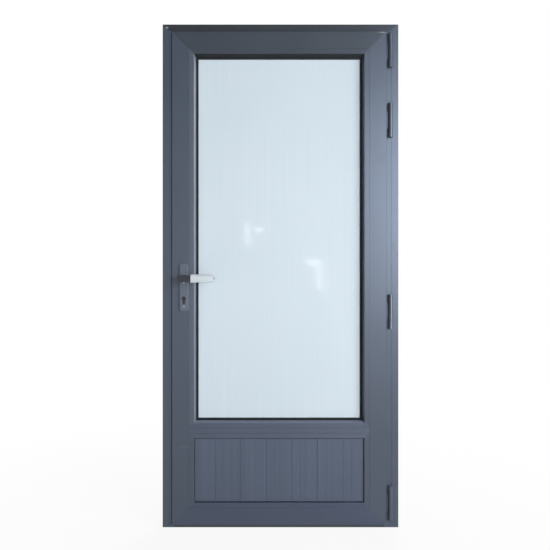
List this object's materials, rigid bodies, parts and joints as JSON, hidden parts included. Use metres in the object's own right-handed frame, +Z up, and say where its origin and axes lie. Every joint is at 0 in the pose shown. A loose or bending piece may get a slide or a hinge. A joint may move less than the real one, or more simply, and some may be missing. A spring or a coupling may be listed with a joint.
{
  "type": "aluminium door with frame",
  "caption": "Hinged aluminium door in its frame, with a tall frosted glass light above a boarded lower panel, barrel hinges, lever handle and key cylinder lock.",
  "frame": {"origin": "bottom centre of the closed door set, on the floor line, mid-way between the two levers in depth", "axes": "+X to the hinge side as seen from the pull side, +Y through the wall away from the pull side, +Z up"},
  "size_m": [1.008, 0.175, 2.15],
  "materials": {
    "coated_aluminium": "satin slate-grey powder coat",
    "coated_handle_metal": "satin dark grey coat",
    "mill_aluminium": "mill finish",
    "plated_steel": "zinc plated",
    "nickel_brass": "nickel plated",
    "black_rubber": "matt",
    "brush_pile": "pile",
    "nylon": "moulded",
    "grip_plastic": "satin moulded",
    "frosted_glass": "glossy, milky"
  },
  "bodies": {
    "frame": {"frame_lock_jamb": "coated_aluminium", "frame_hinge_jamb": "coated_aluminium", "frame_head": "coated_aluminium", "threshold": "coated_aluminium", "frame_corner_cleats": "mill_aluminium", "frame_stop_gasket": "black_rubber", "strike_plate": "plated_steel", "frame_screws": "plated_steel", "hinge_frame_knuckles": "coated_aluminium", "hinge_pins": "plated_steel", "hinge_washers": "nylon", "hinge_frame_screws": "plated_steel"},
    "leaf": {"leaf_lock_stile": "coated_aluminium", "leaf_hinge_stile": "coated_aluminium", "leaf_top_rail": "coated_aluminium", "leaf_bottom_rail": "coated_aluminium", "leaf_mid_rail": "coated_aluminium", "glass_bead_left": "coated_aluminium", "glass_bead_right": "coated_aluminium", "glass_bead_top": "coated_aluminium", "glass_bead_bottom": "coated_aluminium", "panel_bead_left": "coated_aluminium", "panel_bead_right": "coated_aluminium", "panel_bead_top": "coated_aluminium", "panel_bead_bottom": "coated_aluminium", "panel_boards": "coated_aluminium", "hinge_leaf_knuckles": "coated_aluminium", "handle_plate_inside": "coated_handle_metal", "handle_plate_outside": "coated_handle_metal", "leaf_corner_cleats": "mill_aluminium", "mid_rail_connectors": "mill_aluminium", "glass_spacer": "mill_aluminium", "hinge_leaf_screws": "plated_steel", "lock_case": "plated_steel", "lock_faceplate": "plated_steel", "lock_screws": "plated_steel", "handle_plate_screws": "plated_steel", "cylinder_body": "nickel_brass", "leaf_overlap_gasket": "black_rubber", "glass_gasket_inside": "black_rubber", "glass_gasket_outside": "black_rubber", "panel_gaskets": "black_rubber", "glass_edge_seal": "black_rubber", "bottom_brush_seal": "brush_pile", "setting_blocks": "nylon", "glass_pane_inside": "frosted_glass", "glass_pane_outside": "frosted_glass"},
    "handle": {"lever_inside": "coated_handle_metal", "lever_outside": "coated_handle_metal", "grip_sleeve_inside": "grip_plastic", "grip_sleeve_outside": "grip_plastic", "handle_spindle": "plated_steel", "lock_follower": "plated_steel"},
    "latch": {"latch_bolt": "plated_steel"},
    "deadbolt": {"deadbolt": "plated_steel"},
    "key_inside": {"cylinder_plug_inside": "nickel_brass", "cylinder_cam": "nickel_brass"},
    "key_outside": {"cylinder_plug_outside": "nickel_brass"}
  },
  "joints": [
    {"name": "leaf_swing", "type": "hinge", "parent": "frame", "child": "leaf", "pos_m": [0.469, -0.0315, 1], "axis": [0, 0, 1], "range_deg": [0, 170]},
    {"name": "handle_turn", "type": "hinge", "parent": "leaf", "child": "handle", "pos_m": [-0.411, 0, 1.064], "axis": [0, 1, 0], "range_deg": [0, 35], "stiffness_Nm_per_rad": 2, "springref_deg": -20.05},
    {"name": "latch_slide", "type": "slide", "parent": "leaf", "child": "latch", "axis": [1, 0, 0], "range_m": [0, 0.012]},
    {"name": "key_turn_inside", "type": "hinge", "parent": "leaf", "child": "key_inside", "pos_m": [-0.411, 0, 0.979], "axis": [0, 1, 0], "range_deg": [0, 360]},
    {"name": "deadbolt_slide", "type": "slide", "parent": "leaf", "child": "deadbolt", "axis": [-1, 0, 0], "range_m": [0, 0.02]},
    {"name": "key_turn_outside", "type": "hinge", "parent": "leaf", "child": "key_outside", "pos_m": [-0.411, 0, 0.979], "axis": [0, 1, 0], "range_deg": [0, 360]}
  ],
  "couplings": [
    {"joint": "latch_slide", "follows": "handle_turn", "m_per_rad": 0.019644},
    {"joint": "key_turn_inside", "follows": "deadbolt_slide", "rad_per_m": 314.16}
  ]
}
